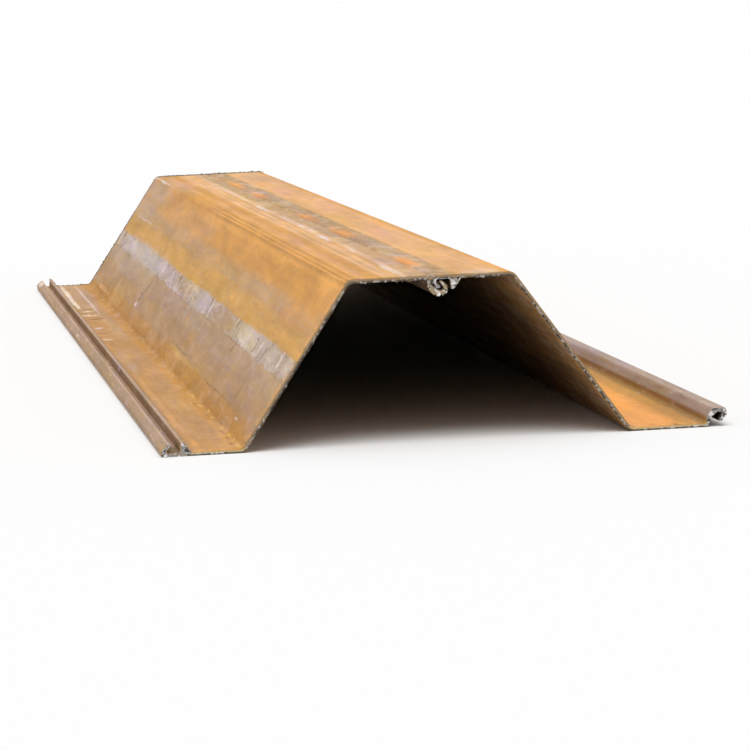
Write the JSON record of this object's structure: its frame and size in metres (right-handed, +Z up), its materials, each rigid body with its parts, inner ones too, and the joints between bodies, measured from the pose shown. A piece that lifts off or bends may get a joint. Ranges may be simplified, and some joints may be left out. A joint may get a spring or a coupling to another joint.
{
  "type": "steel sheet pile",
  "caption": "Hat-shaped rusty steel sheet pile of rolled Z sections threaded together at the middle interlock, with a hook and a claw along its edges that join it to the next piles of a wall.",
  "frame": {"origin": "middle of the bounding box at the level of the bottom flanges' outer faces, where the pile lies on the floor", "axes": "+X across the pile from the hook edge to the claw edge, +Y along the pile, +Z up from the bottom flanges to the top flange"},
  "size_m": [1.299, 6, 0.38],
  "materials": {
    "left_steel": "matte",
    "right_steel": "matte"
  },
  "bodies": {
    "root": {"left_pile": "left_steel", "right_pile": "right_steel"}
  },
  "joints": []
}
